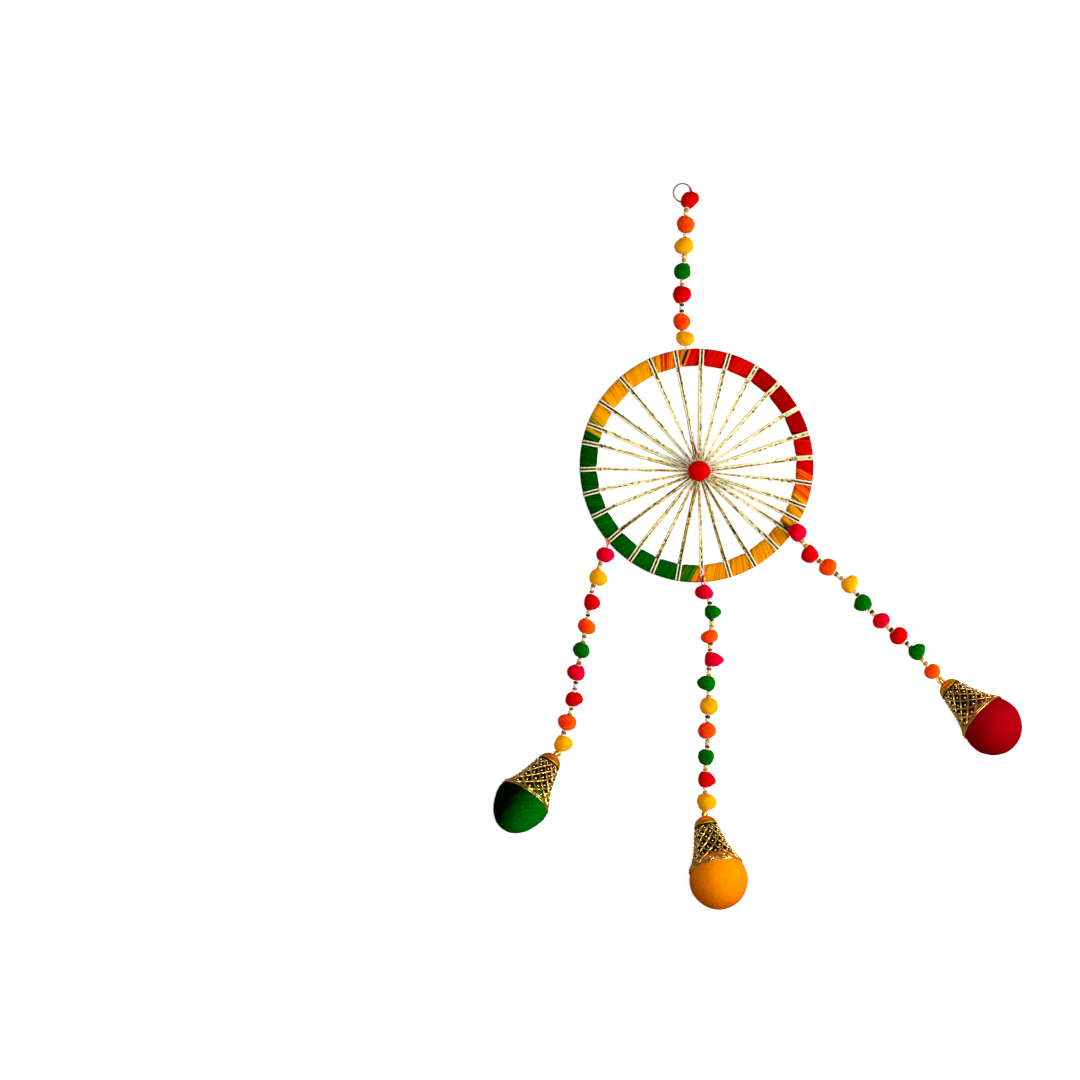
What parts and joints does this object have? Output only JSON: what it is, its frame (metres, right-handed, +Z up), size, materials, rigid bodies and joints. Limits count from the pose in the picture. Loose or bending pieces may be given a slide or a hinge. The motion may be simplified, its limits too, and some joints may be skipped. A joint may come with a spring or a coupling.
{
  "type": "toran door hanging",
  "caption": "Toran door hanging laid flat: a yarn-wound hoop laced with gold cord, felt pompom strings, and gilt bells with velvet balls.",
  "frame": {"origin": "on the surface that the hanging lies on, under the middle of its box", "axes": "+Y runs from the bells to the hanging ring, +X to the right seen from above, and +Z up from the surface"},
  "size_m": [0.2848, 0.393, 0.0316],
  "materials": {
    "felt_red": "soft wool felt, bright red",
    "felt_orange": "soft wool felt, orange with a redder middle",
    "felt_yellow": "soft wool felt, golden yellow",
    "felt_green": "soft wool felt, deep green",
    "felt_pink": "soft wool felt, pinkish red",
    "yarn_red": "satin yarn, wound side by side",
    "yarn_yellow": "satin yarn, wound side by side",
    "yarn_green": "satin yarn, wound side by side",
    "cord_gold": "metallic gold cord, finely twisted",
    "beads_gold": "gold seed beads on a thread",
    "cap_gilt": "gilt metal, bright with dark hollows",
    "ring_wire": "plain wire with a coppery tone",
    "velvet_green": "flocked velvet",
    "velvet_marigold": "flocked velvet",
    "velvet_crimson": "flocked velvet"
  },
  "bodies": {
    "root": {"ring_hanging": "ring_wire", "spokes_gold": "cord_gold", "pompom_hub": "felt_red", "wrap_red": "yarn_red", "wrap_yellow_right": "yarn_yellow", "wrap_green": "yarn_green", "wrap_yellow_left": "yarn_yellow", "thread_top": "beads_gold", "pompom_top_1": "felt_red", "pompom_top_2": "felt_orange", "pompom_top_3": "felt_yellow", "pompom_top_4": "felt_green", "pompom_top_5": "felt_red", "pompom_top_6": "felt_orange", "pompom_top_7": "felt_yellow", "thread_left": "beads_gold", "pompom_left_1": "felt_pink", "pompom_left_2": "felt_yellow", "pompom_left_3": "felt_red", "pompom_left_4": "felt_orange", "pompom_left_5": "felt_green", "pompom_left_6": "felt_pink", "pompom_left_7": "felt_red", "pompom_left_8": "felt_orange", "pompom_left_9": "felt_yellow", "thread_middle": "beads_gold", "pompom_middle_1": "felt_pink", "pompom_middle_2": "felt_green", "pompom_middle_3": "felt_orange", "pompom_middle_4": "felt_pink", "pompom_middle_5": "felt_green", "pompom_middle_6": "felt_yellow", "pompom_middle_7": "felt_orange", "pompom_middle_8": "felt_green", "pompom_middle_9": "felt_red", "pompom_middle_10": "felt_yellow", "thread_right": "beads_gold", "pompom_right_1": "felt_pink", "pompom_right_2": "felt_red", "pompom_right_3": "felt_orange", "pompom_right_4": "felt_yellow", "pompom_right_5": "felt_green", "pompom_right_6": "felt_pink", "pompom_right_7": "felt_red", "pompom_right_8": "felt_green", "pompom_right_9": "felt_orange", "bell_cap_left": "cap_gilt", "bell_ball_left": "velvet_green", "bell_link_left": "cap_gilt", "bell_cap_middle": "cap_gilt", "bell_ball_middle": "velvet_marigold", "bell_link_middle": "cap_gilt", "bell_cap_right": "cap_gilt", "bell_ball_right": "velvet_crimson", "bell_link_right": "cap_gilt"}
  },
  "joints": []
}
